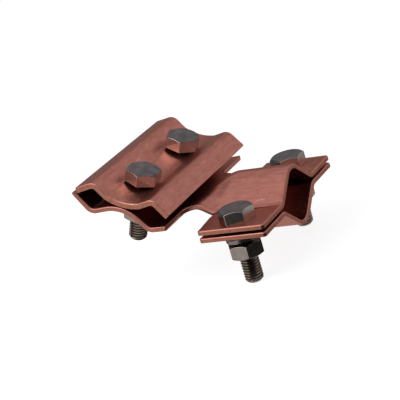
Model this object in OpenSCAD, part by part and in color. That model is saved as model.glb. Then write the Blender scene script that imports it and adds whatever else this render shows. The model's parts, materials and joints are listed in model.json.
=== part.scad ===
// Ground rod clamp. A pressed copper strap grips a round rod at one end, between its ridge and a
// mirrored saddle. Its other end leans upwards and is a waved seat, where a pressure plate holds two
// round conductors that cross the rod.
// The rod's axis is X and its bolts stand along Z. The origin is the middle of the rod's seat.
// Front is -Y and rear is +Y. Sizes are in millimetres, angles in degrees.

/* [Sheets] */
// Thickness of the strap and of the saddle
strap_t = 2.5; // [2:0.1:3]
// Thickness of the pressure plate
plate_t = 3; // [2:0.1:4]
// Radius of the sheets' corners, seen from above
corner_r = 1.5; // [0.6:0.1:4]

/* [Rod clamp] */
// Diameter of the rod that touches all four faces of the seat
rod_d = 26; // [22:0.5:28]
// Slope of the seat's faces
seat_angle = 37; // [32:0.5:41]
// Inside radius of the ridge over the rod
ridge_r = 9; // [4:0.1:11]
// Inside radius of the bends at the feet of the ridge
foot_r = 5; // [2:0.1:6]
// Gap between the flanges, with the nuts run up by hand
flange_gap = 1.7; // [0.6:0.1:4]
// Length of the flanges along the rod
flange_l = 38; // [32:1:50]
// Room between the seat's bend and the corners of a turning bolt head
head_room = 5.8; // [2:0.1:8]
// Distance from a bolt's axis to the flange's outer edge
flange_edge = 11.5; // [10:0.1:16]

/* [Neck] */
// Free length of the neck, from the flanges to the lip of the waved seat
neck_l = 15.9; // [13:0.1:22]
// Height of the flat end of the neck over the rod's axis, to the sheet's middle
neck_z = 7.6; // [6:0.1:10]
// How far the neck reaches past the seat's bends at each side
neck_edge = 2.1; // [0.8:0.1:4]
// Radius of the corners between the neck and the waved seat's lip
root_r = 6; // [3:0.1:9]
// Radius of the corners between the neck and the flanges
notch_r = 2.5; // [1:0.1:4]
// How far the ridge goes on falling past the edge of the flanges
ridge_run = 8; // [4:0.1:10]
// How much later the sides of the neck start to fall than its middle
side_lag = 6; // [2:0.1:7]

/* [Waved seat] */
// Lean of the conductor clamp against the rod
lean = 23; // [15:0.5:30]
// Length of the clamp along the conductors
conductor_l = 100; // [84:1:120]
// Distance from the middle of the clamp to each conductor
channel_x = 17; // [15.5:0.1:20]
// Slope of the crest's flank on the rod's side
inner_wave_angle = 28; // [25:0.5:32]
// Slope of the crest's flank on the far side
outer_wave_angle = 26; // [24:0.5:32]
// Inside radius of the crest between the conductors
crest_r = 17.75; // [12:0.05:19]
// Inside radius of the bends that the conductors lie in
trough_r = 4; // [2:0.1:5]
// Slope of the outer lip, the one away from the rod
outer_lip_angle = 36.5; // [32:0.5:42]
// Length of the outer lip, from the bend at its foot
outer_lip_l = 14.1; // [9:0.1:15]
// Length of the inner lip, from the bend at its foot
inner_lip_l = 9.7; // [7:0.1:12]

/* [Pressure plate] */
// Gap between the plate and the crest, with the nuts run up by hand
plate_gap = 0.6; // [0.3:0.1:2]
// Slope of the valley's floor where it ends
floor_angle = 18; // [14:0.5:22]
// Distance from the middle of the plate to the folds at the valley's sides
fold_x = 9.5; // [9:0.1:11]
// Inside radius of those folds
fold_r = 0.8; // [0.5:0.1:3]
// Inside radius of the valley's floor
floor_r = 25; // [15:0.5:26]
// Slope of both sides of a channel's ridge
plate_angle = 33; // [30:0.5:38]
// Inside radius of a channel's ridge
channel_r = 2.5; // [1.5:0.1:4]
// Length of the plate's lips, from the ridge
plate_lip_l = 11.1; // [9:0.1:13]

/* [Fasteners] */
// Diameter of the thread
thread_d = 10; // [8:1:10]
// Length of the bolts under the head
bolt_l = 34.5; // [32:0.5:45]
// Width of the heads and nuts across flats
hex_af = 17; // [15:0.5:17]
// Height of the heads
head_h = 7; // [5:0.1:7.5]
// Height of the nuts
nut_h = 8; // [6:0.1:9]
// Spacing of the conductor bolts
conductor_pitch = 50; // [40:1:64]
// Outer diameter of the spring washers
washer_od = 18.1; // [15:0.1:19]
// Thickness of a spring washer's wire
washer_s = 2.2; // [1.6:0.1:2.5]
// Height of a spring washer that nothing presses
washer_h = 5; // [3.6:0.1:5.4]
// Height of the conductor bolts' spring washers, which their nuts press
pressed_h = 2.5; // [2.3:0.1:5]
// Radial clearance between a bolt and its nut
thread_clear = 0.05; // [0.02:0.01:0.1]
// Radial clearance between a bolt and the sheets' holes
hole_clear = 0.5; // [0.3:0.05:0.75]
// Radial clearance between a bolt and its spring washer
washer_clear = 0.25; // [0.15:0.05:0.5]
// Air between a spring washer and what it lies against
washer_air = 0.05; // [0.02:0.01:0.2]

/* [Hidden] */
ENDS = ["front", "rear"];
FASTENERS = ["rod_bolt", "rod_washer", "rod_nut", "conductor_bolt", "conductor_washer", "conductor_nut"];

copper = "#b47765";
dark_steel = "#5d5656";

$fn = 64;
// Degrees of bend for each flat of a curve that is drawn as a polygon
arc_step = 5;
// Overshoot of cutting shapes past the faces that they cut
past = 1;
// How far the heads and nuts are turned at rest, front and rear
rod_head_turn = [16, 29];
rod_nut_turn = [-1, 23];
conductor_head_turn = [35, 45];
conductor_nut_turn = [57, 40];
// Where the spring washers are split, front and rear
rod_split = [85, 64];
conductor_split = [128, -52];
// Width of a spring washer's split, in degrees, and the flats round its ring
split_angle = 14;
washer_flats = 30;
// Slope of the chamfers on heads and nuts, and the flat face that they leave as a share of the flats' width
hex_chamfer = 30;
hex_face = 0.95;
// Chamfers at the bolt's end and in the mouths of the nut
tip_chamfer = 1.5;
nut_mouth = 0.6;

// Folded sheets
// A sheet is drawn by its middle line: corners [x, z, radius] from left to right. fold_rows gives the
// line's points, each with the direction that is upwards from the sheet there.
function unit(v) = v / norm(v);
function upward(v) = [-v[1], v[0]];
function spun(v, a) = [v[0] * cos(a) - v[1] * sin(a), v[0] * sin(a) + v[1] * cos(a)];
function place(corner) = [corner[0], corner[1]];
function bend_angle(u, w) = atan2(u[0] * w[1] - u[1] * w[0], u * w);

function bend_rows(a, b, c) =
    let (u = unit(place(b) - place(a)), w = unit(place(c) - place(b)))
    let (turn = bend_angle(u, w), flats = ceil(abs(turn) / arc_step), out = sign(turn) * b[2])
    let (start = place(b) - u * b[2] * tan(abs(turn) / 2), centre = start + out * upward(u))
    [for (i = [0 : flats]) let (n = spun(upward(u), turn * i / flats)) [centre - out * n, n]];

function end_row(at, a, b) = [place(at), upward(unit(place(b) - place(a)))];

function fold_rows(corners) =
    let (last = len(corners) - 1)
    concat([end_row(corners[0], corners[0], corners[1])],
           [for (i = [1 : last - 1]) each bend_rows(corners[i - 1], corners[i], corners[i + 1])],
           [end_row(corners[last], corners[last - 1], corners[last])]);

function sheet_face(rows, off) = [for (r = rows) r[0] + r[1] * off];
function reversed(list) = [for (i = [len(list) - 1 : -1 : 0]) list[i]];
function sheet_outline(rows, t) = concat(sheet_face(rows, t / 2), reversed(sheet_face(rows, -t / 2)));

// A rectangle with round corners
function corner_points(x, y, r, from) =
    [for (a = [0 : arc_step * 2 : 90]) [x, y] + r * [cos(from + a), sin(from + a)]];
function round_rectangle(low, high, r) =
    concat(corner_points(high[0] - r, high[1] - r, r, 0), corner_points(low[0] + r, high[1] - r, r, 90),
           corner_points(low[0] + r, low[1] + r, r, 180), corner_points(high[0] - r, low[1] + r, r, 270));

module along_x(length) { rotate([90, 0, 90]) linear_extrude(length, center = true) children(); }
module along_y(length) { rotate([90, 0, 0]) linear_extrude(length, center = true) children(); }

// The rod's seat
// The ridge and its flanges, as half sizes about the rod's axis
foot_mid = foot_r + strap_t / 2;
flange_z = (flange_gap + strap_t) / 2;
ridge_z = (rod_d + strap_t) / 2 / cos(seat_angle);
seat_y = (ridge_z - flange_z) / tan(seat_angle);
hex_r = hex_af / 2 / cos(30);
rod_bolt_y = seat_y + head_room + hex_r;
clamp_y = rod_bolt_y + flange_edge;
flange_x = flange_l / 2;

function seat_corners(y) =
    [[-y, flange_z], [-seat_y, flange_z, foot_mid], [0, ridge_z, ridge_r + strap_t / 2],
     [seat_y, flange_z, foot_mid], [y, flange_z]];

module bolt_holes(y, d) {
    for (side = [-1, 1]) translate([0, side * y, 0]) cylinder(h = 4 * clamp_y, d = d, center = true);
}

hole_d = thread_d + 2 * hole_clear;

// A ridge with two flanges, cut to its outline and drilled
module rod_grip() {
    difference() {
        intersection() {
            along_x(flange_l + 2 * past)
                polygon(sheet_outline(fold_rows(seat_corners(clamp_y + past)), strap_t));
            linear_extrude(4 * ridge_z, center = true)
                polygon(round_rectangle([-flange_x, -clamp_y], [flange_x, clamp_y], corner_r));
        }
        bolt_holes(rod_bolt_y, hole_d);
    }
}

// The neck
// A drawn sheet between the lip of the waved seat, where it is flat, and the ridge. Its middle rises and
// its sides fall, the sides over a shorter way. lip_x is the lip's edge, and the neck ends at neck_end.
lip_x = -flange_x - neck_l;
neck_end = -flange_x + ridge_run;
neck_half = seat_y + neck_edge;
neck_wide = neck_half + notch_r;
arc_stations = 6;
free_stations = 6;
run_stations = 4;
slope_points = 4;

// How far a round inside corner has opened at a distance from its foot
function flare(d, r) = d >= r ? 0 : r - sqrt(r * r - pow(r - max(d, 0), 2));
function neck_width(x) = neck_half + flare(x - lip_x, root_r) + flare(-flange_x - x, notch_r);
function eased(s) = let (k = min(max(s, 0), 1)) k * k * (3 - 2 * k);
function neck_share(x, y) =
    let (out = min(abs(y) / neck_wide, 1))
    let (from = lip_x + side_lag * out * out, to = neck_end - ridge_run * out)
    eased((x - from) / (to - from));

// The stations along the neck: close together in the round corners, evenly spread between them
neck_x = concat([for (i = [0 : arc_stations]) lip_x + root_r * (1 - cos(90 * i / arc_stations))],
                [for (i = [1 : free_stations - 1])
                    lip_x + root_r + (neck_l - root_r - notch_r) * i / free_stations],
                [for (i = [0 : arc_stations]) -flange_x - notch_r * (1 - sin(90 * i / arc_stations))],
                [for (i = [1 : run_stations]) -flange_x + ridge_run * i / run_stations]);

// The ridge's section, with points added on its straight slopes
neck_fold = fold_rows(seat_corners(neck_wide));
function with_slopes(rows) =
    [for (i = [0 : len(rows) - 2])
        let (a = rows[i], b = rows[i + 1], cuts = norm(b[0] - a[0]) > seat_y / 4 ? slope_points : 1)
        for (k = [0 : cuts - 1]) [a[0] + (b[0] - a[0]) * k / cuts, k == 0 ? a[1] : unit(a[1] + b[1])]];
neck_rows = concat(with_slopes(neck_fold), [neck_fold[len(neck_fold) - 1]]);
seat_heights = [for (r = neck_rows) r[0]];

function neck_middle(i, k) =
    let (x = neck_x[i], y = neck_rows[k][0][0] * neck_width(x) / neck_wide)
    let (seat_z = lookup(min(max(y, -neck_wide), neck_wide), seat_heights))
    [x, y, neck_z + neck_share(x, y) * (seat_z - neck_z)];

neck_last = len(neck_x) - 1;
neck_side = len(neck_rows) - 1;
neck_grid = [for (i = [0 : neck_last]) [for (k = [0 : neck_side]) neck_middle(i, k)]];

function neck_normal(i, k) =
    i == 0 ? [0, 0, 1] :
    i == neck_last ? [0, neck_rows[k][1][0], neck_rows[k][1][1]] :
    unit(cross(neck_grid[i + 1][k] - neck_grid[i - 1][k],
               neck_grid[i][min(k + 1, neck_side)] - neck_grid[i][max(k - 1, 0)]));

function neck_skin(off) =
    [for (i = [0 : neck_last], k = [0 : neck_side]) neck_grid[i][k] + neck_normal(i, k) * off];

// A four-sided cell as two triangles, cut from its first corner or from its second
function halves(c, first) =
    first ? [[c[0], c[1], c[2]], [c[0], c[2], c[3]]] : [[c[1], c[2], c[3]], [c[1], c[3], c[0]]];

module neck() {
    row = neck_side + 1;
    under = row * (neck_last + 1);
    tops = [for (i = [0 : neck_last - 1], k = [0 : neck_side - 1])
        let (c = i * row + k) each halves([c, c + 1, c + row + 1, c + row], k < neck_side / 2)];
    bottoms = [for (t = tops) [under + t[0], under + t[2], under + t[1]]];
    front = [for (i = [0 : neck_last - 1])
        let (c = i * row) each halves([c, c + row, under + c + row, under + c], true)];
    rear = [for (i = [0 : neck_last - 1])
        let (c = i * row + neck_side) each halves([c, under + c, under + c + row, c + row], true)];
    lip = [for (k = [0 : neck_side - 1]) each halves([k, under + k, under + k + 1, k + 1], true)];
    seat = [for (k = [0 : neck_side - 1])
        let (c = neck_last * row + k) each halves([c, c + 1, under + c + 1, under + c], true)];
    polyhedron(concat(neck_skin(strap_t / 2), neck_skin(-strap_t / 2)),
               concat(tops, bottoms, front, rear, lip, seat));
}

// The waved seat
// Its section has a frame of its own, which leans: x across the conductors, z along their bolts, with the
// crest's folded corner as its origin. The inner lip runs level with the neck.
inner_wave_z = -channel_x * tan(inner_wave_angle);
outer_wave_z = -channel_x * tan(outer_wave_angle);
inner_lip = [channel_x, inner_wave_z] + inner_lip_l * [cos(lean), sin(lean)];
outer_lip = [-channel_x, outer_wave_z] + outer_lip_l * [-cos(outer_lip_angle), sin(outer_lip_angle)];
trough_mid = trough_r + strap_t / 2;
wave_corners = [outer_lip, [-channel_x, outer_wave_z, trough_mid], [0, 0, crest_r + strap_t / 2],
                [channel_x, inner_wave_z, trough_mid], inner_lip];
wave_rows = fold_rows(wave_corners);
crest_top = max([for (p = sheet_face(wave_rows, strap_t / 2)) if (abs(p[0]) < channel_x / 2) p[1]]);
// Height of the sheet's underside where the spring washers touch it
wave_under = min([for (side = [-1, 1]) lookup(side * washer_od / 2, sheet_face(wave_rows, -strap_t / 2))]);

// The leaning frame's origin in the rod's frame
clamp_at = [lip_x, neck_z] - spun(inner_lip, -lean);

module leaning() { translate([clamp_at[0], 0, clamp_at[1]]) rotate([0, lean, 0]) children(); }

// How far a sheet reaches to both sides, with a little to spare
function sheet_reach(rows, t) =
    let (xs = [for (p = sheet_outline(rows, t)) p[0]]) [min(xs) - corner_r / 4, max(xs) + corner_r / 4];

// A sheet along the conductors, cut to its outline and drilled, in the leaning frame
module conductor_sheet(rows, t) {
    half = conductor_l / 2;
    reach = sheet_reach(rows, t);
    difference() {
        intersection() {
            along_y(conductor_l + 2 * past) polygon(sheet_outline(rows, t));
            linear_extrude(conductor_l, center = true)
                polygon(round_rectangle([reach[0], -half], [reach[1], half], corner_r));
        }
        bolt_holes(conductor_pitch / 2, hole_d);
    }
}

module strap() {
    color(copper) union() {
        difference() {
            rod_grip();
            translate([-flange_x - past, -neck_wide, 0])
                cube([ridge_run + past, 2 * neck_wide, 2 * ridge_z]);
        }
        neck();
        leaning() conductor_sheet(wave_rows, strap_t);
    }
}

module rod_saddle() {
    color(copper) mirror([0, 0, 1]) rod_grip();
}

// The pressure plate
// Its section is in the leaning frame too. Its valley lies over the crest, and the valley's
// round floor ends before the folds beside it.
fold_mid = fold_r + plate_t / 2;
fold_run = fold_mid * tan((plate_angle - floor_angle) / 2);
floor_room = (fold_x / cos(floor_angle) - fold_run) / tan(floor_angle);
floor_mid = min(floor_r + plate_t / 2, 0.98 * floor_room);
valley_z = crest_top + plate_gap + plate_t / 2 - floor_mid * (1 / cos(floor_angle) - 1);
fold_z = valley_z + fold_x * tan(floor_angle);
channel_z = fold_z + (channel_x - fold_x) * tan(plate_angle);
plate_lip = [channel_x + plate_lip_l * cos(plate_angle), channel_z - plate_lip_l * sin(plate_angle)];
plate_half = [[fold_x, fold_z, fold_mid],
              [channel_x, channel_z, channel_r + plate_t / 2], plate_lip];
function mirrored(corner) = concat([-corner[0]], [for (i = [1 : len(corner) - 1]) corner[i]]);
plate_corners = concat([for (c = reversed(plate_half)) mirrored(c)], [[0, valley_z, floor_mid]], plate_half);
plate_rows = fold_rows(plate_corners);
// Height of the plate's upper side where the corners of a turning head touch it
head_seat = lookup(hex_r, sheet_face(plate_rows, plate_t / 2));

module pressure_plate() {
    color(copper) leaning() conductor_sheet(plate_rows, plate_t);
}

// Fasteners
// A six-sided bar with its corners turned off at the chosen ends
module hex_bar(h, chamfer_low) {
    face_r = hex_face * hex_af / 2;
    rim = hex_r + past;
    drop = (rim - face_r) * tan(hex_chamfer);
    foot = chamfer_low ? [[face_r, 0], [rim, drop]] : [[rim, 0]];
    intersection() {
        cylinder(h = h, r = hex_r, $fn = 6);
        rotate_extrude() polygon(concat([[0, 0]], foot, [[rim, h - drop], [face_r, h], [0, h]]));
    }
}

// A bolt with the underside of its head at z 0
module bolt() {
    thread_r = thread_d / 2;
    union() {
        hex_bar(head_h, false);
        rotate_extrude() polygon([[0, past], [thread_r, past], [thread_r, tip_chamfer - bolt_l],
                                  [thread_r - tip_chamfer, -bolt_l], [0, -bolt_l]]);
    }
}

// A nut that hangs from z 0
module nut() {
    bore_r = thread_d / 2 + thread_clear;
    mouth_r = bore_r + nut_mouth + past;
    translate([0, 0, -nut_h]) difference() {
        hex_bar(nut_h, true);
        rotate_extrude() polygon([[0, -past], [mouth_r, -past], [bore_r, nut_mouth],
                                  [bore_r, nut_h - nut_mouth], [mouth_r, nut_h + past], [0, nut_h + past]]);
    }
}

// A split ring of height h that hangs from z 0 and winds upwards round its bolt
module spring_washer(h) {
    inner = thread_d / 2 + washer_clear;
    section = [[inner, 0], [washer_od / 2, 0], [washer_od / 2, washer_s], [inner, washer_s]];
    sides = len(section);
    ring = [for (i = [0 : washer_flats], p = section)
        let (a = split_angle / 2 + (360 - split_angle) * i / washer_flats)
        [p[0] * cos(a), p[0] * sin(a), p[1] - h + (h - washer_s) * i / washer_flats]];
    walls = [for (i = [0 : washer_flats - 1], k = [0 : sides - 1])
        let (a = i * sides, b = a + sides, n = (k + 1) % sides)
        each halves([a + k, a + n, b + n, b + k], true)];
    top = washer_flats * sides;
    ends = concat(halves([3, 2, 1, 0], true), halves([top, top + 1, top + 2, top + 3], true));
    polyhedron(ring, concat(walls, ends));
}

// Each kind stands at the front and at the rear of its clamp
function across(end, pitch) = (2 * end - 1) * pitch / 2;
flange_top = flange_z + strap_t / 2;
// Room that a washer takes up between its sheet and its nut
function washer_drop(h) = h + 2 * washer_air;

module rod_fastener(end, z, turn) {
    color(dark_steel) translate([0, across(end, 2 * rod_bolt_y), z]) rotate([0, 0, turn]) children();
}

module conductor_fastener(end, z, turn) {
    color(dark_steel) leaning()
        translate([0, across(end, conductor_pitch), z]) rotate([0, 0, turn]) children();
}

module rod_bolt(end) {
    rod_fastener(end, flange_top, rod_head_turn[end]) bolt();
}

module rod_washer(end) {
    rod_fastener(end, -flange_top - washer_air, rod_split[end]) spring_washer(washer_h);
}

module rod_nut(end) {
    rod_fastener(end, -flange_top - washer_drop(washer_h), rod_nut_turn[end]) nut();
}

module conductor_bolt(end) {
    conductor_fastener(end, head_seat, conductor_head_turn[end]) bolt();
}

module conductor_washer(end) {
    conductor_fastener(end, wave_under - washer_air, conductor_split[end]) spring_washer(pressed_h);
}

module conductor_nut(end) {
    conductor_fastener(end, wave_under - washer_drop(pressed_h), conductor_nut_turn[end]) nut();
}

strap();
rod_saddle();
pressure_plate();
for (end = [0, 1]) {
    rod_bolt(end);
    rod_washer(end);
    rod_nut(end);
    conductor_bolt(end);
    conductor_washer(end);
    conductor_nut(end);
}
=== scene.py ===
"""Looks of a copper ground rod clamp: pressed copper sheets held by dark steel hex bolts and nuts."""

import json
import math

import bpy
from mathutils import Matrix, Vector

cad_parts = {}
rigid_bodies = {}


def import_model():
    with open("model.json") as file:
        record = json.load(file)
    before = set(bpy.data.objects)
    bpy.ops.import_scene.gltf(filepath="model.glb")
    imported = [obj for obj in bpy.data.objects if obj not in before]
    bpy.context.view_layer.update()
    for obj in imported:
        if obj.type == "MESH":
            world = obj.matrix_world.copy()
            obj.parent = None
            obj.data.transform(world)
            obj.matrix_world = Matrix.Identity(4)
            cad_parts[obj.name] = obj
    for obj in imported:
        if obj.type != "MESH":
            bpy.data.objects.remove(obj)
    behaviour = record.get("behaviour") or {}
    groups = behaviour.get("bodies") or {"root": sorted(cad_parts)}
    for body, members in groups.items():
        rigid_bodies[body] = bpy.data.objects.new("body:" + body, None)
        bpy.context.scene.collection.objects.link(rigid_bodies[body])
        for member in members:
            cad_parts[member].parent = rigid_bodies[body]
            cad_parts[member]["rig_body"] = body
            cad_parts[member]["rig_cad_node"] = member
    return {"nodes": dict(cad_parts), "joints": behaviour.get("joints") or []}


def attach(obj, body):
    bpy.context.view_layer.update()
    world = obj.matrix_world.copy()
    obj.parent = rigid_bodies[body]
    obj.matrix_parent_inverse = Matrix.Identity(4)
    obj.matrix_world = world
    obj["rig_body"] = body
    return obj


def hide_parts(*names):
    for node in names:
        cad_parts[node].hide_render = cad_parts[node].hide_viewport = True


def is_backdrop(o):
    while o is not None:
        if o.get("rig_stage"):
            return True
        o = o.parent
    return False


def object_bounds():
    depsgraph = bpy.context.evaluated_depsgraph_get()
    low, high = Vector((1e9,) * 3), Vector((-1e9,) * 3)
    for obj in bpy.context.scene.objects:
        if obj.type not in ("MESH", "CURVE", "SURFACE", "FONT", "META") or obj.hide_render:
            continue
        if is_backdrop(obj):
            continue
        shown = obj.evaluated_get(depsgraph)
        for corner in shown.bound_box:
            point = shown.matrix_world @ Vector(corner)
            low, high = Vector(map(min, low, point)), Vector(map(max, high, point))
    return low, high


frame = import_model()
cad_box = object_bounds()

MM = 0.001
ENDS = ("front", "rear")

# Rounding of the CAD pieces' edges, in millimetres
UPPER_RIM = 0.8
HEX_ROUND = 0.18
WASHER_ROUND = 0.25
# Steel edges that turn by more than this, in degrees, are rounded
ROUND_OVER = 45
# Edges that turn by less than this, in degrees, are shaded smooth
SMOOTH_SHEET = 40
SMOOTH_STEEL = 25
# Strength of large faces over small ones in the shading
FACE_WEIGHT = 80
# Triangles that turn by less than this, in degrees, are one face
FLAT = 0.1
# Corners closer than this, in millimetres, are one
MERGE = 0.001
# Edges shorter than this, in millimetres, are taken away with the empty triangles on them
SLIVER = 0.003

# A standard M10 thread, in millimetres
THREAD_R = 5.0
THREAD_PITCH = 1.5
THREAD_DEPTH = 0.92
CREST_FLAT = 0.19
ROOT_FLAT = 0.37
TIP_CHAMFER = 1.5
BOLT_LENGTH = 34.5
# Thread that reaches into the head to join it
INTO_HEAD = 1.1
# Thread below the point, which the turning takes away
TIP_SPARE = 0.5
# Room between the thread and the bar that its point is turned to, round it and above it
BAR_SPARE = 0.1
BAR_OVER = 2
# Points of the thread closer than this are one
THREAD_MERGE = 0.0001
# Turns of thread past each end of the bolt, which are cut off
SPARE_TURNS = 2
# Corners of the thread and of the bar in one turn
THREAD_STEPS = 40
BAR_SIDES = 96

# What reaches out over the thread by more than this, in millimetres, is the head
HEAD_OVER = 1
# Room for rounded coordinates round the shank, at its top and under the seat, in millimetres
SHANK_ROOM = 0.1
SHANK_TOP = 0.01
UNDER_SEAT = 0.02
# Faces of a head whose normal has a higher cosine than this with its axis are its top and chamfer
HEAD_TOP = 0.3

# Thickness of the sheets, in millimetres
STRAP_T = 2.5
PLATE_T = 3.0
# A sheet's material slots: its skin and its cut edge
SKIN = 0
CUT = 1
# Where the metal behind a face is deeper than this share of the sheet, the face is a cut edge
EDGE_DEPTH = 1.06
# The ray that finds the depth starts this far behind the face, in millimetres
RAY_START = 0.01
# Faces whose normals have a higher cosine than this between them lie flush and form no rim
RIM_TURN = 0.79
# Corner facets of the leaning lips lie this near the sheet's ends, in millimetres
CORNER_ROOM = 2.0
# and have no part of their normal smaller than this
CORNER_LEAN = 0.02
# Room round a thread, in millimetres, that still belongs to its hole
HOLE_ROOM = 0.8

# Colour that copper takes on where it is seen at a low angle
COPPER_GLANCE = "#efd4cc"
# Tiny bright marks that tumbling leaves on the sheet
SPECK = "#bd8679"

# The floor's width in metres, its gap under the object in millimetres, and its glow where it is seen
FLOOR_WIDTH = 6
FLOOR_GAP = 0.05
FLOOR_GLOW = 0.86
# The cards' height over the object's lowest point, in millimetres, and the sections of their curve
CARD_HEIGHT = 0.3
CARD_STEPS = 24
# Strength of the room as a light, and where it is seen
ROOM_LIGHT = 0.4
ROOM_SEEN = 1.0

# The photograph's camera as it was fitted, in degrees and millimetres
CAMERA_AZIMUTH = 29.9145
CAMERA_ELEVATION = 17.2118
CAMERA_ROLL = -16.4804
CAMERA_DISTANCE = 899.54
CAMERA_AIM = (-37.707, -2.621, 4.031)
CAMERA_LENS = 150.315
CAMERA_SENSOR = 36


def linear(hex_colour):
    """An sRGB hex colour as the linear colour that a shader takes."""
    out = []
    for i in (1, 3, 5):
        c = int(hex_colour[i:i + 2], 16) / 255
        out.append(c / 12.92 if c <= 0.04045 else ((c + 0.055) / 1.055) ** 2.4)
    return (*out, 1.0)


def add_node(tree, kind, settings=None, links=None):
    """Add a node; settings name its properties or its input sockets, and links name what feeds a socket."""
    node = tree.nodes.new(kind)
    for key, value in (settings or {}).items():
        if isinstance(key, str) and hasattr(node, key):
            setattr(node, key, value)
        else:
            node.inputs[key].default_value = value
    for key, source in (links or {}).items():
        tree.links.new(source, node.inputs[key])
    return node


# Selecting and finishing


def pick(obj):
    """Make one object the only selected and active one."""
    bpy.ops.object.select_all(action="DESELECT")
    obj.select_set(True)
    bpy.context.view_layer.objects.active = obj


def edit(obj, action="SELECT"):
    """Open one object in edit mode with all of it selected, or none."""
    pick(obj)
    bpy.ops.object.mode_set(mode="EDIT")
    bpy.ops.mesh.select_mode(type="VERT")
    bpy.ops.mesh.select_all(action=action)


def leave_edit():
    """Close edit mode."""
    bpy.ops.object.mode_set(mode="OBJECT")


def edit_only(obj, elements, chosen):
    """Open one object in edit mode with only the chosen ones of its edges or faces selected."""
    edit(obj, "DESELECT")
    leave_edit()
    elements.foreach_set("select", chosen)
    bpy.ops.object.mode_set(mode="EDIT")


def lone_point():
    """A new mesh of one point at the origin, open in edit mode with the point selected."""
    bpy.ops.mesh.primitive_plane_add(size=1 * MM, location=(0, 0, 0))
    obj = bpy.context.object
    edit(obj)
    bpy.ops.mesh.merge(type="CENTER")
    return obj


def apply_modifier(obj, kind, **settings):
    """Add a modifier with its settings and apply it."""
    pick(obj)
    modifier = obj.modifiers.new(kind.lower(), kind)
    for key, value in settings.items():
        setattr(modifier, key, value)
    bpy.ops.object.modifier_apply(modifier=modifier.name)


def merged_copy(node, name):
    """A copy of a CAD node with its loose triangles joined."""
    piece = frame["nodes"][node].copy()
    piece.data = piece.data.copy()
    piece.name = name
    piece.data.name = name
    piece.parent = None
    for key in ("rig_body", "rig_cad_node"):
        del piece[key]
    bpy.context.scene.collection.objects.link(piece)
    piece.data.materials.clear()
    edit(piece)
    bpy.ops.mesh.remove_doubles(threshold=MERGE * MM)
    leave_edit()
    return piece


def take_slivers_away(piece):
    """Take away faces with no area and edges with no face."""
    edit(piece)
    bpy.ops.mesh.dissolve_degenerate(threshold=SLIVER * MM)
    bpy.ops.mesh.select_all(action="SELECT")
    bpy.ops.mesh.delete_loose()
    leave_edit()


def make_faces_whole(piece):
    """Join the triangles of each flat face."""
    edit(piece)
    bpy.ops.mesh.dissolve_limited(angle_limit=math.radians(FLAT))
    leave_edit()
    take_slivers_away(piece)


def round_edges(piece, width_mm):
    """Round the sharp edges of a steel piece."""
    apply_modifier(piece, "BEVEL", width=width_mm * MM, segments=2, limit_method="ANGLE",
                   angle_limit=math.radians(ROUND_OVER), use_clamp_overlap=False, miter_outer="MITER_ARC")


def smooth(piece, angle_deg):
    """Shade smooth up to an angle, with flat faces kept flat in the light."""
    pick(piece)
    bpy.ops.object.shade_smooth_by_angle(angle=math.radians(angle_deg))
    apply_modifier(piece, "WEIGHTED_NORMAL", keep_sharp=True, weight=FACE_WEIGHT)


def stand_for(piece, node):
    """Show a piece in place of a CAD node, on the node's body."""
    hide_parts(node)
    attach(piece, frame["nodes"][node]["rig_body"])


def joint(name):
    """What the frame says of a joint."""
    return next(j for j in frame["joints"] if j["name"] == name)


def axis_frame(origin, axis):
    """A frame with its z axis along a fastener."""
    turn = Vector((0, 0, 1)).rotation_difference(Vector(axis).normalized()).to_matrix().to_4x4()
    return Matrix.Translation(Vector(origin)) @ turn


bolt_joints = [joint(f"rod_bolt_{end}_spin") for end in ENDS]
bolt_joints += [joint(f"conductor_bolt_{end}_turn") for end in ENDS]
bolt_frames = [axis_frame(j["pos_m"], j["axis"]).inverted() for j in bolt_joints]


# Materials


def start_material(name):
    """A new material with its node tree and its shader."""
    material = bpy.data.materials.new(name)
    material.use_nodes = True
    tree = material.node_tree
    return material, tree, tree.nodes["Principled BSDF"]


def per_metre(size_mm):
    """A noise texture's scale for features of a size."""
    return 1 / (size_mm * MM)


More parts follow.
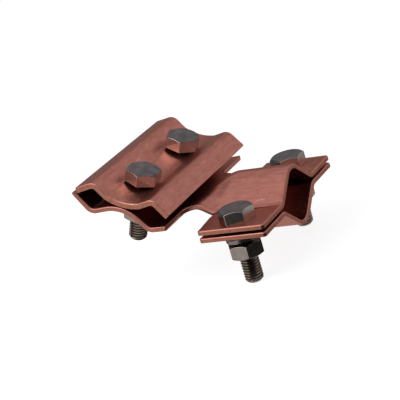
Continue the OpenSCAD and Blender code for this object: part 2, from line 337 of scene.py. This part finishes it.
def rolled_copper(name, light, deep, stretch):
    """Cold-rolled copper sheet, pressed and tumbled: satin, with soft cloudy tone and a fine grain.

    The grain is about 0.3 mm on the real sheet and is drawn at 0.9 mm, so that it shows."""
    material, tree, shader = start_material(name)
    place = add_node(tree, "ShaderNodeTexCoord").outputs["Object"]
    cloud = add_node(tree, "ShaderNodeTexNoise", {"Scale": per_metre(9), "Detail": 3.0}, {"Vector": place})
    rolled = add_node(tree, "ShaderNodeMapping", {"Scale": stretch}, {"Vector": place})
    streak = add_node(tree, "ShaderNodeTexNoise", {"Scale": per_metre(1.6), "Detail": 2.0},
                      {"Vector": rolled.outputs[0]})
    grain = add_node(tree, "ShaderNodeTexNoise",
                     {"Scale": per_metre(0.9), "Detail": 3.0, "Roughness": 0.7}, {"Vector": place})
    # The tone is the streaks with a little of the clouds and much of the grain
    tone = add_node(tree, "ShaderNodeMath", {"operation": "MULTIPLY_ADD", 1: 0.35},
                    {0: cloud.outputs["Fac"], 2: streak.outputs["Fac"]})
    tone = add_node(tree, "ShaderNodeMath", {"operation": "MULTIPLY_ADD", 1: 0.8},
                    {0: grain.outputs["Fac"], 2: tone.outputs[0]})
    tone = add_node(tree, "ShaderNodeMapRange", {"From Min": 0.7, "From Max": 1.45},
                    {"Value": tone.outputs[0]})
    ramp = add_node(tree, "ShaderNodeValToRGB", links={"Fac": tone.outputs[0]})
    ramp.color_ramp.elements[0].color = linear(deep)
    ramp.color_ramp.elements[1].color = linear(SPECK)
    ramp.color_ramp.elements.new(0.8).color = linear(light)
    tree.links.new(ramp.outputs["Color"], shader.inputs["Base Color"])
    rough = add_node(tree, "ShaderNodeMapRange",
                     {"From Min": 0.3, "From Max": 0.7, "To Min": 0.27, "To Max": 0.37},
                     {"Value": grain.outputs["Fac"]})
    tree.links.new(rough.outputs[0], shader.inputs["Roughness"])
    bump = add_node(tree, "ShaderNodeBump", {"Strength": 0.35, "Distance": 0.03 * MM},
                    {"Height": grain.outputs["Fac"]})
    tree.links.new(bump.outputs[0], shader.inputs["Normal"])
    shader.inputs["Metallic"].default_value = 1.0
    shader.inputs["Specular Tint"].default_value = linear(COPPER_GLANCE)
    return material


def sheared_copper():
    """The sheet's cut edge: bare sheared copper, browner and rougher than the skin, with dark flecks."""
    material, tree, shader = start_material("sheared_copper_edge")
    place = add_node(tree, "ShaderNodeTexCoord").outputs["Object"]
    torn = add_node(tree, "ShaderNodeTexNoise", {"Scale": per_metre(1.3), "Detail": 4.0, "Roughness": 0.65},
                    {"Vector": place})
    ramp = add_node(tree, "ShaderNodeValToRGB", links={"Fac": torn.outputs["Fac"]})
    ramp.color_ramp.elements[0].position = 0.34
    ramp.color_ramp.elements[0].color = linear("#875748")
    ramp.color_ramp.elements[1].position = 0.62
    ramp.color_ramp.elements[1].color = linear("#a06b5b")
    tree.links.new(ramp.outputs["Color"], shader.inputs["Base Color"])
    bump = add_node(tree, "ShaderNodeBump", {"Strength": 0.5, "Distance": 0.05 * MM},
                    {"Height": torn.outputs["Fac"]})
    tree.links.new(bump.outputs[0], shader.inputs["Normal"])
    shader.inputs["Metallic"].default_value = 1.0
    shader.inputs["Roughness"].default_value = 0.38
    shader.inputs["Specular Tint"].default_value = linear(COPPER_GLANCE)
    return material


def forged_steel(name, light, deep, rough_low, rough_high, grain_mm, depth_mm):
    """Cold-forged carbon steel with a thin oiled zinc coat: grey, with fine pits and uneven gloss."""
    material, tree, shader = start_material(name)
    place = add_node(tree, "ShaderNodeTexCoord").outputs["Object"]
    grain = add_node(tree, "ShaderNodeTexNoise",
                     {"Scale": per_metre(grain_mm), "Detail": 4.0, "Roughness": 0.6}, {"Vector": place})
    cloud = add_node(tree, "ShaderNodeTexNoise", {"Scale": per_metre(5), "Detail": 2.0}, {"Vector": place})
    # The tone is the clouds with about half of the grain
    tone = add_node(tree, "ShaderNodeMath", {"operation": "MULTIPLY_ADD", 1: 0.6},
                    {0: grain.outputs["Fac"], 2: cloud.outputs["Fac"]})
    ramp = add_node(tree, "ShaderNodeValToRGB", links={"Fac": tone.outputs[0]})
    ramp.color_ramp.elements[0].position = 0.6
    ramp.color_ramp.elements[0].color = linear(deep)
    ramp.color_ramp.elements[1].position = 1.0
    ramp.color_ramp.elements[1].color = linear(light)
    tree.links.new(ramp.outputs["Color"], shader.inputs["Base Color"])
    rough = add_node(tree, "ShaderNodeMapRange",
                     {"From Min": 0.3, "From Max": 0.7, "To Min": rough_low, "To Max": rough_high},
                     {"Value": grain.outputs["Fac"]})
    tree.links.new(rough.outputs[0], shader.inputs["Roughness"])
    bump = add_node(tree, "ShaderNodeBump", {"Strength": 0.4, "Distance": depth_mm * MM},
                    {"Height": grain.outputs["Fac"]})
    tree.links.new(bump.outputs[0], shader.inputs["Normal"])
    shader.inputs["Metallic"].default_value = 1.0
    return material


# Streaks from rolling are four times as long as wide
along_rod = (0.25, 1.0, 1.0)
along_conductors = (1.0, 0.25, 1.0)
strap_copper = rolled_copper("rolled_copper_strap", "#a46b61", "#8e5950", along_rod)
plate_copper = rolled_copper("rolled_copper_plate", "#a66d63", "#8e5950", along_conductors)
edge_copper = sheared_copper()
# Light and deep tone, least and most roughness, and the grain's size and depth in millimetres
head_top = forged_steel("forged_steel_head_top", "#665d5f", "#494244", 0.34, 0.46, 0.9, 0.06)
hex_flank = forged_steel("trimmed_steel_flank", "#bfb5af", "#aea49e", 0.14, 0.22, 1.2, 0.01)
nut_steel = forged_steel("tapped_nut_steel", "#90877f", "#776e69", 0.16, 0.26, 1.0, 0.02)
thread_steel = forged_steel("rolled_thread_steel", "#857a72", "#6d625b", 0.22, 0.3, 2.0, 0.005)
spring_steel = forged_steel("spring_steel_washer", "#857c78", "#6a625f", 0.25, 0.38, 0.9, 0.02)


# Copper sheets: copies of the folded solids with the sheet's rims rounded


def is_cut_edge(sheet, face, thickness):
    """Whether the metal behind a face is deeper than the sheet is thick, as it is on a cut edge."""
    inwards = -face.normal
    hit, place, _, _ = sheet.ray_cast(face.center + inwards * RAY_START * MM, inwards)
    return hit and (place - face.center).length > EDGE_DEPTH * thickness * MM


def in_a_hole(mesh, edge):
    """Whether an edge is the rim of a bolt's hole, which the head or the washer covers."""
    middle = (mesh.vertices[edge.vertices[0]].co + mesh.vertices[edge.vertices[1]].co) / 2
    for to_axis in bolt_frames:
        across = to_axis @ middle
        if math.hypot(across.x, across.y) < (THREAD_R + HOLE_ROOM) * MM:
            return True
    return False


def leans(face):
    """Whether a cut face is a corner facet of a leaning lip, which is too small for a rounded rim."""
    at_end = abs(face.center.y) > cad_box[1].y - CORNER_ROOM * MM
    return at_end and min(abs(part) for part in face.normal) > CORNER_LEAN


def is_rim(mesh, edge, sides):
    """Whether an edge is an upper rim that is rounded: one of its sides is skin and the other cut."""
    skin = [face for face in sides if face.material_index == SKIN]
    if len(sides) != 2 or len(skin) != 1 or skin[0].normal.z <= 0:
        return False
    if sides[0].normal.dot(sides[1].normal) >= RIM_TURN or in_a_hole(mesh, edge):
        return False
    return not any(leans(face) for face in sides if face.material_index == CUT)


def copper_sheet(node, name, face_copper, thickness):
    """A folded sheet: its cut edges are bare metal, and its upper rims are rounded."""
    sheet = merged_copy(node, name)
    mesh = sheet.data
    mesh.materials.append(face_copper)
    mesh.materials.append(edge_copper)
    bpy.context.view_layer.update()
    slots = [CUT if is_cut_edge(sheet, face, thickness) else SKIN for face in mesh.polygons]
    mesh.polygons.foreach_set("material_index", slots)
    make_faces_whole(sheet)
    faces_of = {}
    for face in mesh.polygons:
        for key in face.edge_keys:
            faces_of.setdefault(key, []).append(face)
    weights = [float(is_rim(mesh, edge, faces_of.get(edge.key, []))) for edge in mesh.edges]
    mesh.attributes.new("bevel_weight_edge", "FLOAT", "EDGE").data.foreach_set("value", weights)
    apply_modifier(sheet, "BEVEL", width=UPPER_RIM * MM, segments=4, limit_method="WEIGHT",
                   material=SKIN, use_clamp_overlap=False, miter_outer="MITER_ARC", loop_slide=False)
    take_slivers_away(sheet)
    smooth(sheet, SMOOTH_SHEET)
    stand_for(sheet, node)


copper_sheet("strap", "strap_sheet", strap_copper, STRAP_T)
copper_sheet("rod_saddle", "saddle_sheet", strap_copper, STRAP_T)
copper_sheet("pressure_plate", "plate_sheet", plate_copper, PLATE_T)


# Fasteners


def thread_stock(length_mm):
    """A threaded rod from a little below z 0, where its point is cut, up to the given length."""
    thread = lone_point()
    root_r = THREAD_R - THREAD_DEPTH
    flank_z = (THREAD_PITCH - CREST_FLAT - ROOT_FLAT) / 2
    bpy.ops.transform.translate(value=(root_r * MM, 0, -SPARE_TURNS * THREAD_PITCH * MM))
    profile = ((0, ROOT_FLAT), (THREAD_DEPTH, flank_z), (0, CREST_FLAT), (-THREAD_DEPTH, flank_z))
    for step_r, step_z in profile:
        bpy.ops.mesh.extrude_region_move(TRANSFORM_OT_translate={"value": (step_r * MM, 0, step_z * MM)})
    leave_edit()
    turns = math.ceil(length_mm / THREAD_PITCH) + 2 * SPARE_TURNS
    apply_modifier(thread, "SCREW", axis="Z", angle=2 * math.pi, screw_offset=THREAD_PITCH * MM,
                   iterations=turns, steps=THREAD_STEPS, render_steps=THREAD_STEPS, use_merge_vertices=True,
                   merge_threshold=THREAD_MERGE * MM, use_normal_calculate=True)
    for height, side in ((-TIP_SPARE * MM, -1), (length_mm * MM, 1)):
        edit(thread)
        bpy.ops.mesh.bisect(plane_co=(0, 0, height), plane_no=(0, 0, side), use_fill=True, clear_outer=True)
        leave_edit()
    edit(thread)
    bpy.ops.mesh.remove_doubles(threshold=THREAD_MERGE * MM)
    bpy.ops.mesh.normals_make_consistent(inside=False)
    leave_edit()
    return thread


def turned_point(length_mm):
    """The bar that the thread's point is turned to: a cylinder with a wide chamfer at its lower end."""
    bar_mm = length_mm + BAR_OVER
    bpy.ops.mesh.primitive_cylinder_add(vertices=BAR_SIDES, radius=(THREAD_R + BAR_SPARE) * MM,
                                        depth=bar_mm * MM, location=(0, 0, bar_mm / 2 * MM))
    bar = bpy.context.object
    pick(bar)
    bpy.ops.object.transform_apply(location=True, rotation=True, scale=True)
    points = [v.co for v in bar.data.vertices]
    low = [all(points[v].z < bar_mm / 2 * MM for v in edge.vertices) for edge in bar.data.edges]
    edit_only(bar, bar.data.edges, low)
    bpy.ops.mesh.bevel(offset=(TIP_CHAMFER + BAR_SPARE) * MM, segments=1, affect="EDGES")
    leave_edit()
    return bar


def finished_thread(length_mm):
    """The thread with its turned point."""
    thread = thread_stock(length_mm)
    bar = turned_point(length_mm)
    apply_modifier(thread, "BOOLEAN", operation="INTERSECT", object=bar, solver="EXACT")
    bpy.data.objects.remove(bar)
    return thread


def hex_bolt(node, name, axis_of, thread):
    """A bolt: the head from the CAD node, its smooth shank cut away and the thread put in its place."""
    bolt = merged_copy(node, name)
    make_faces_whole(bolt)
    to_axis = axis_frame(axis_of["pos_m"], axis_of["axis"]).inverted()
    points = [to_axis @ v.co for v in bolt.data.vertices]
    tip = min(p.z for p in points)
    seat = min(p.z for p in points if math.hypot(p.x, p.y) > (THREAD_R + HEAD_OVER) * MM)
    shank = []
    for face in bolt.data.polygons:
        corners = [points[v] for v in face.vertices]
        below = max(p.z for p in corners) < seat + SHANK_TOP * MM
        reach = max(math.hypot(p.x, p.y) for p in corners)
        shank.append(below and reach < (THREAD_R + SHANK_ROOM) * MM)
    edit_only(bolt, bolt.data.polygons, shank)
    bpy.ops.mesh.select_mode(type="FACE")
    bpy.ops.mesh.delete(type="FACE")
    bpy.ops.mesh.select_mode(type="EDGE")
    bpy.ops.mesh.select_all(action="SELECT")
    bpy.ops.mesh.fill_holes(sides=0)
    leave_edit()
    round_edges(bolt, HEX_ROUND)
    rod = thread.copy()
    rod.data = thread.data.copy()
    bpy.context.scene.collection.objects.link(rod)
    rod.data.transform(to_axis.inverted() @ Matrix.Translation((0, 0, tip)))
    apply_modifier(bolt, "BOOLEAN", operation="UNION", object=rod, solver="EXACT")
    bpy.data.objects.remove(rod)
    bolt.data.materials.clear()
    steels = (hex_flank, head_top, thread_steel)
    for steel in steels:
        bolt.data.materials.append(steel)
    take_slivers_away(bolt)
    axis = Vector(axis_of["axis"]).normalized()
    for face in bolt.data.polygons:
        if (to_axis @ face.center).z < seat - UNDER_SEAT * MM:
            steel = thread_steel
        else:
            steel = head_top if face.normal.dot(axis) > HEAD_TOP else hex_flank
        face.material_index = steels.index(steel)
    smooth(bolt, SMOOTH_STEEL)
    stand_for(bolt, node)


def small_steel(node, name, material, width_mm):
    """A nut or washer: the CAD node with its edges broken."""
    piece = merged_copy(node, name)
    make_faces_whole(piece)
    piece.data.materials.append(material)
    round_edges(piece, width_mm)
    smooth(piece, SMOOTH_STEEL)
    stand_for(piece, node)


screw_thread = finished_thread(BOLT_LENGTH + INTO_HEAD)
for end in ENDS:
    hex_bolt(f"rod_bolt_{end}", f"rod_hex_bolt_{end}", joint(f"rod_bolt_{end}_spin"), screw_thread)
    hex_bolt(f"conductor_bolt_{end}", f"conductor_hex_bolt_{end}",
             joint(f"conductor_bolt_{end}_turn"), screw_thread)
    small_steel(f"rod_nut_{end}", f"rod_hex_nut_{end}", nut_steel, HEX_ROUND)
    small_steel(f"conductor_nut_{end}", f"conductor_hex_nut_{end}", nut_steel, HEX_ROUND)
    small_steel(f"rod_washer_{end}", f"rod_spring_washer_{end}", spring_steel, WASHER_ROUND)
    small_steel(f"conductor_washer_{end}", f"conductor_spring_washer_{end}", spring_steel, WASHER_ROUND)
bpy.data.objects.remove(screw_thread)


# Stage, light and camera


def seen_rays(tree):
    """1 for the rays by which the camera sees something, straight or in the metal, and 0 for others."""
    path = add_node(tree, "ShaderNodeLightPath")
    seen = add_node(tree, "ShaderNodeMath", {"operation": "MAXIMUM"},
                    {0: path.outputs["Is Camera Ray"], 1: path.outputs["Is Glossy Ray"]})
    seen = add_node(tree, "ShaderNodeMath", {"operation": "MAXIMUM"},
                    {0: seen.outputs[0], 1: path.outputs["Is Transmission Ray"]})
    return seen.outputs[0]


def white_paper():
    """A paper floor: pale, white to the camera and in the metal, and dark where the object shades it."""
    material, tree, shader = start_material("white_paper_floor")
    shader.inputs["Base Color"].default_value = linear("#9a9a9a")
    shader.inputs["Roughness"].default_value = 0.9
    shader.inputs["Specular IOR Level"].default_value = 0.0
    glow = add_node(tree, "ShaderNodeMath", {"operation": "MULTIPLY", 1: FLOOR_GLOW}, {0: seen_rays(tree)})
    shader.inputs["Emission Color"].default_value = (1, 1, 1, 1)
    tree.links.new(glow.outputs[0], shader.inputs["Emission Strength"])
    return material


def flock_card(name, colour):
    """Flock on card, quite matt: the metal that faces it shows its even tone and no bright spot."""
    material, _, shader = start_material(name)
    shader.inputs["Base Color"].default_value = linear(colour)
    shader.inputs["Roughness"].default_value = 1.0
    shader.inputs["Specular IOR Level"].default_value = 0.0
    return material


def floor_sheet():
    """A wide floor just under the object."""
    bpy.ops.mesh.primitive_plane_add(size=FLOOR_WIDTH, location=(0, 0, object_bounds()[0].z - FLOOR_GAP * MM))
    floor = bpy.context.object
    floor.name = "floor"
    pick(floor)
    bpy.ops.object.transform_apply(location=True)
    floor.data.materials.append(white_paper())
    floor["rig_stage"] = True


def card(name, colour, from_deg, to_deg, near_m, far_m, wall_m):
    """A card that lies in an arc round the object and turns up into a wall; it shows in the metal alone."""
    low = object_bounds()[0].z + CARD_HEIGHT * MM
    start = Vector((math.cos(math.radians(from_deg)), math.sin(math.radians(from_deg)), 0))
    flag = lone_point()
    flag.name = name
    bpy.ops.transform.translate(value=start * near_m + Vector((0, 0, low)))
    bpy.ops.mesh.extrude_region_move(TRANSFORM_OT_translate={"value": start * (far_m - near_m)})
    bpy.ops.mesh.extrude_region_move(TRANSFORM_OT_translate={"value": (0, 0, wall_m)})
    bpy.ops.mesh.select_all(action="SELECT")
    # With no window the spin turns the other way, so its axis points down
    bpy.ops.mesh.spin(steps=CARD_STEPS, angle=math.radians(to_deg - from_deg), center=(0, 0, 0),
                      axis=(0, 0, -1))
    leave_edit()
    flag.data.materials.append(flock_card(name + "_flock", colour))
    flag.visible_camera = False
    flag.visible_diffuse = False
    flag.visible_transmission = False
    flag.visible_shadow = False
    flag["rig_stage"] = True


def softbox(name, azimuth, elevation, distance, size, power):
    """A square lamp that looks at the object from a direction; azimuth is counted from +X."""
    lamp = bpy.data.lights.new(name, "AREA")
    lamp.shape = "SQUARE"
    lamp.size = size
    lamp.energy = power
    light = bpy.data.objects.new(name, lamp)
    bpy.context.scene.collection.objects.link(light)
    az, el = math.radians(azimuth), math.radians(elevation)
    way = Vector((math.cos(az) * math.cos(el), math.sin(az) * math.cos(el), math.sin(el)))
    light.location = Vector(CAMERA_AIM) * MM + way * distance
    light.rotation_euler = way.to_track_quat("Z", "Y").to_euler()


def room():
    """A plain bright room, white where the camera or the metal sees it and dimmer as a light."""
    world = bpy.data.worlds.new("white_room")
    bpy.context.scene.world = world
    world.use_nodes = True
    tree = world.node_tree
    strength = add_node(tree, "ShaderNodeMapRange", {"To Min": ROOM_LIGHT, "To Max": ROOM_SEEN},
                        {"Value": seen_rays(tree)})
    tree.nodes["Background"].inputs["Color"].default_value = (1, 1, 1, 1)
    tree.links.new(strength.outputs[0], tree.nodes["Background"].inputs["Strength"])


def photo_camera():
    """The camera at the photograph's viewing angle."""
    az, el, roll = (math.radians(a) for a in (CAMERA_AZIMUTH, CAMERA_ELEVATION, CAMERA_ROLL))
    ahead = Vector((-math.sin(az) * math.cos(el), math.cos(az) * math.cos(el), -math.sin(el)))
    level = Vector((math.cos(az), math.sin(az), 0))
    upright = level.cross(ahead)
    right = math.cos(roll) * level + math.sin(roll) * upright
    up = math.cos(roll) * upright - math.sin(roll) * level
    lens = bpy.data.cameras.new("photo_camera")
    lens.lens = CAMERA_LENS
    lens.sensor_width = CAMERA_SENSOR
    camera = bpy.data.objects.new("photo_camera", lens)
    bpy.context.scene.collection.objects.link(camera)
    turn = Matrix((right, up, -ahead)).transposed().to_4x4()
    camera.matrix_world = Matrix.Translation(Vector(CAMERA_AIM) * MM - ahead * CAMERA_DISTANCE * MM) @ turn
    bpy.context.scene.camera = camera


floor_sheet()
# Colour, first and last angle in degrees from +X, near edge, far edge and wall height in metres
card("dark_card", "#4c4c4c", -97, 12, 0.045, 0.7, 0.25)
card("grey_card", "#f0f0f0", 12, 50, 0.045, 0.7, 0.2)
card("left_card", "#6c6c6c", 140, 205, 0.045, 0.7, 0.02)
card("rear_card", "#e2e2e2", 85, 160, 0.2, 0.7, 0.45)
card("right_rear_card", "#b4b4b4", 60, 75, 0.1, 0.25, 0.005)
card("left_wall", "#f0f0f0", 160, 215, 0.69, 0.7, 1.2)
room()
# Azimuth and elevation in degrees, distance and width in metres, power in watts
softbox("front_left_softbox", -122, 44, 0.9, 0.74, 4.4)
photo_camera()
bpy.context.scene.view_settings.view_transform = "Standard"
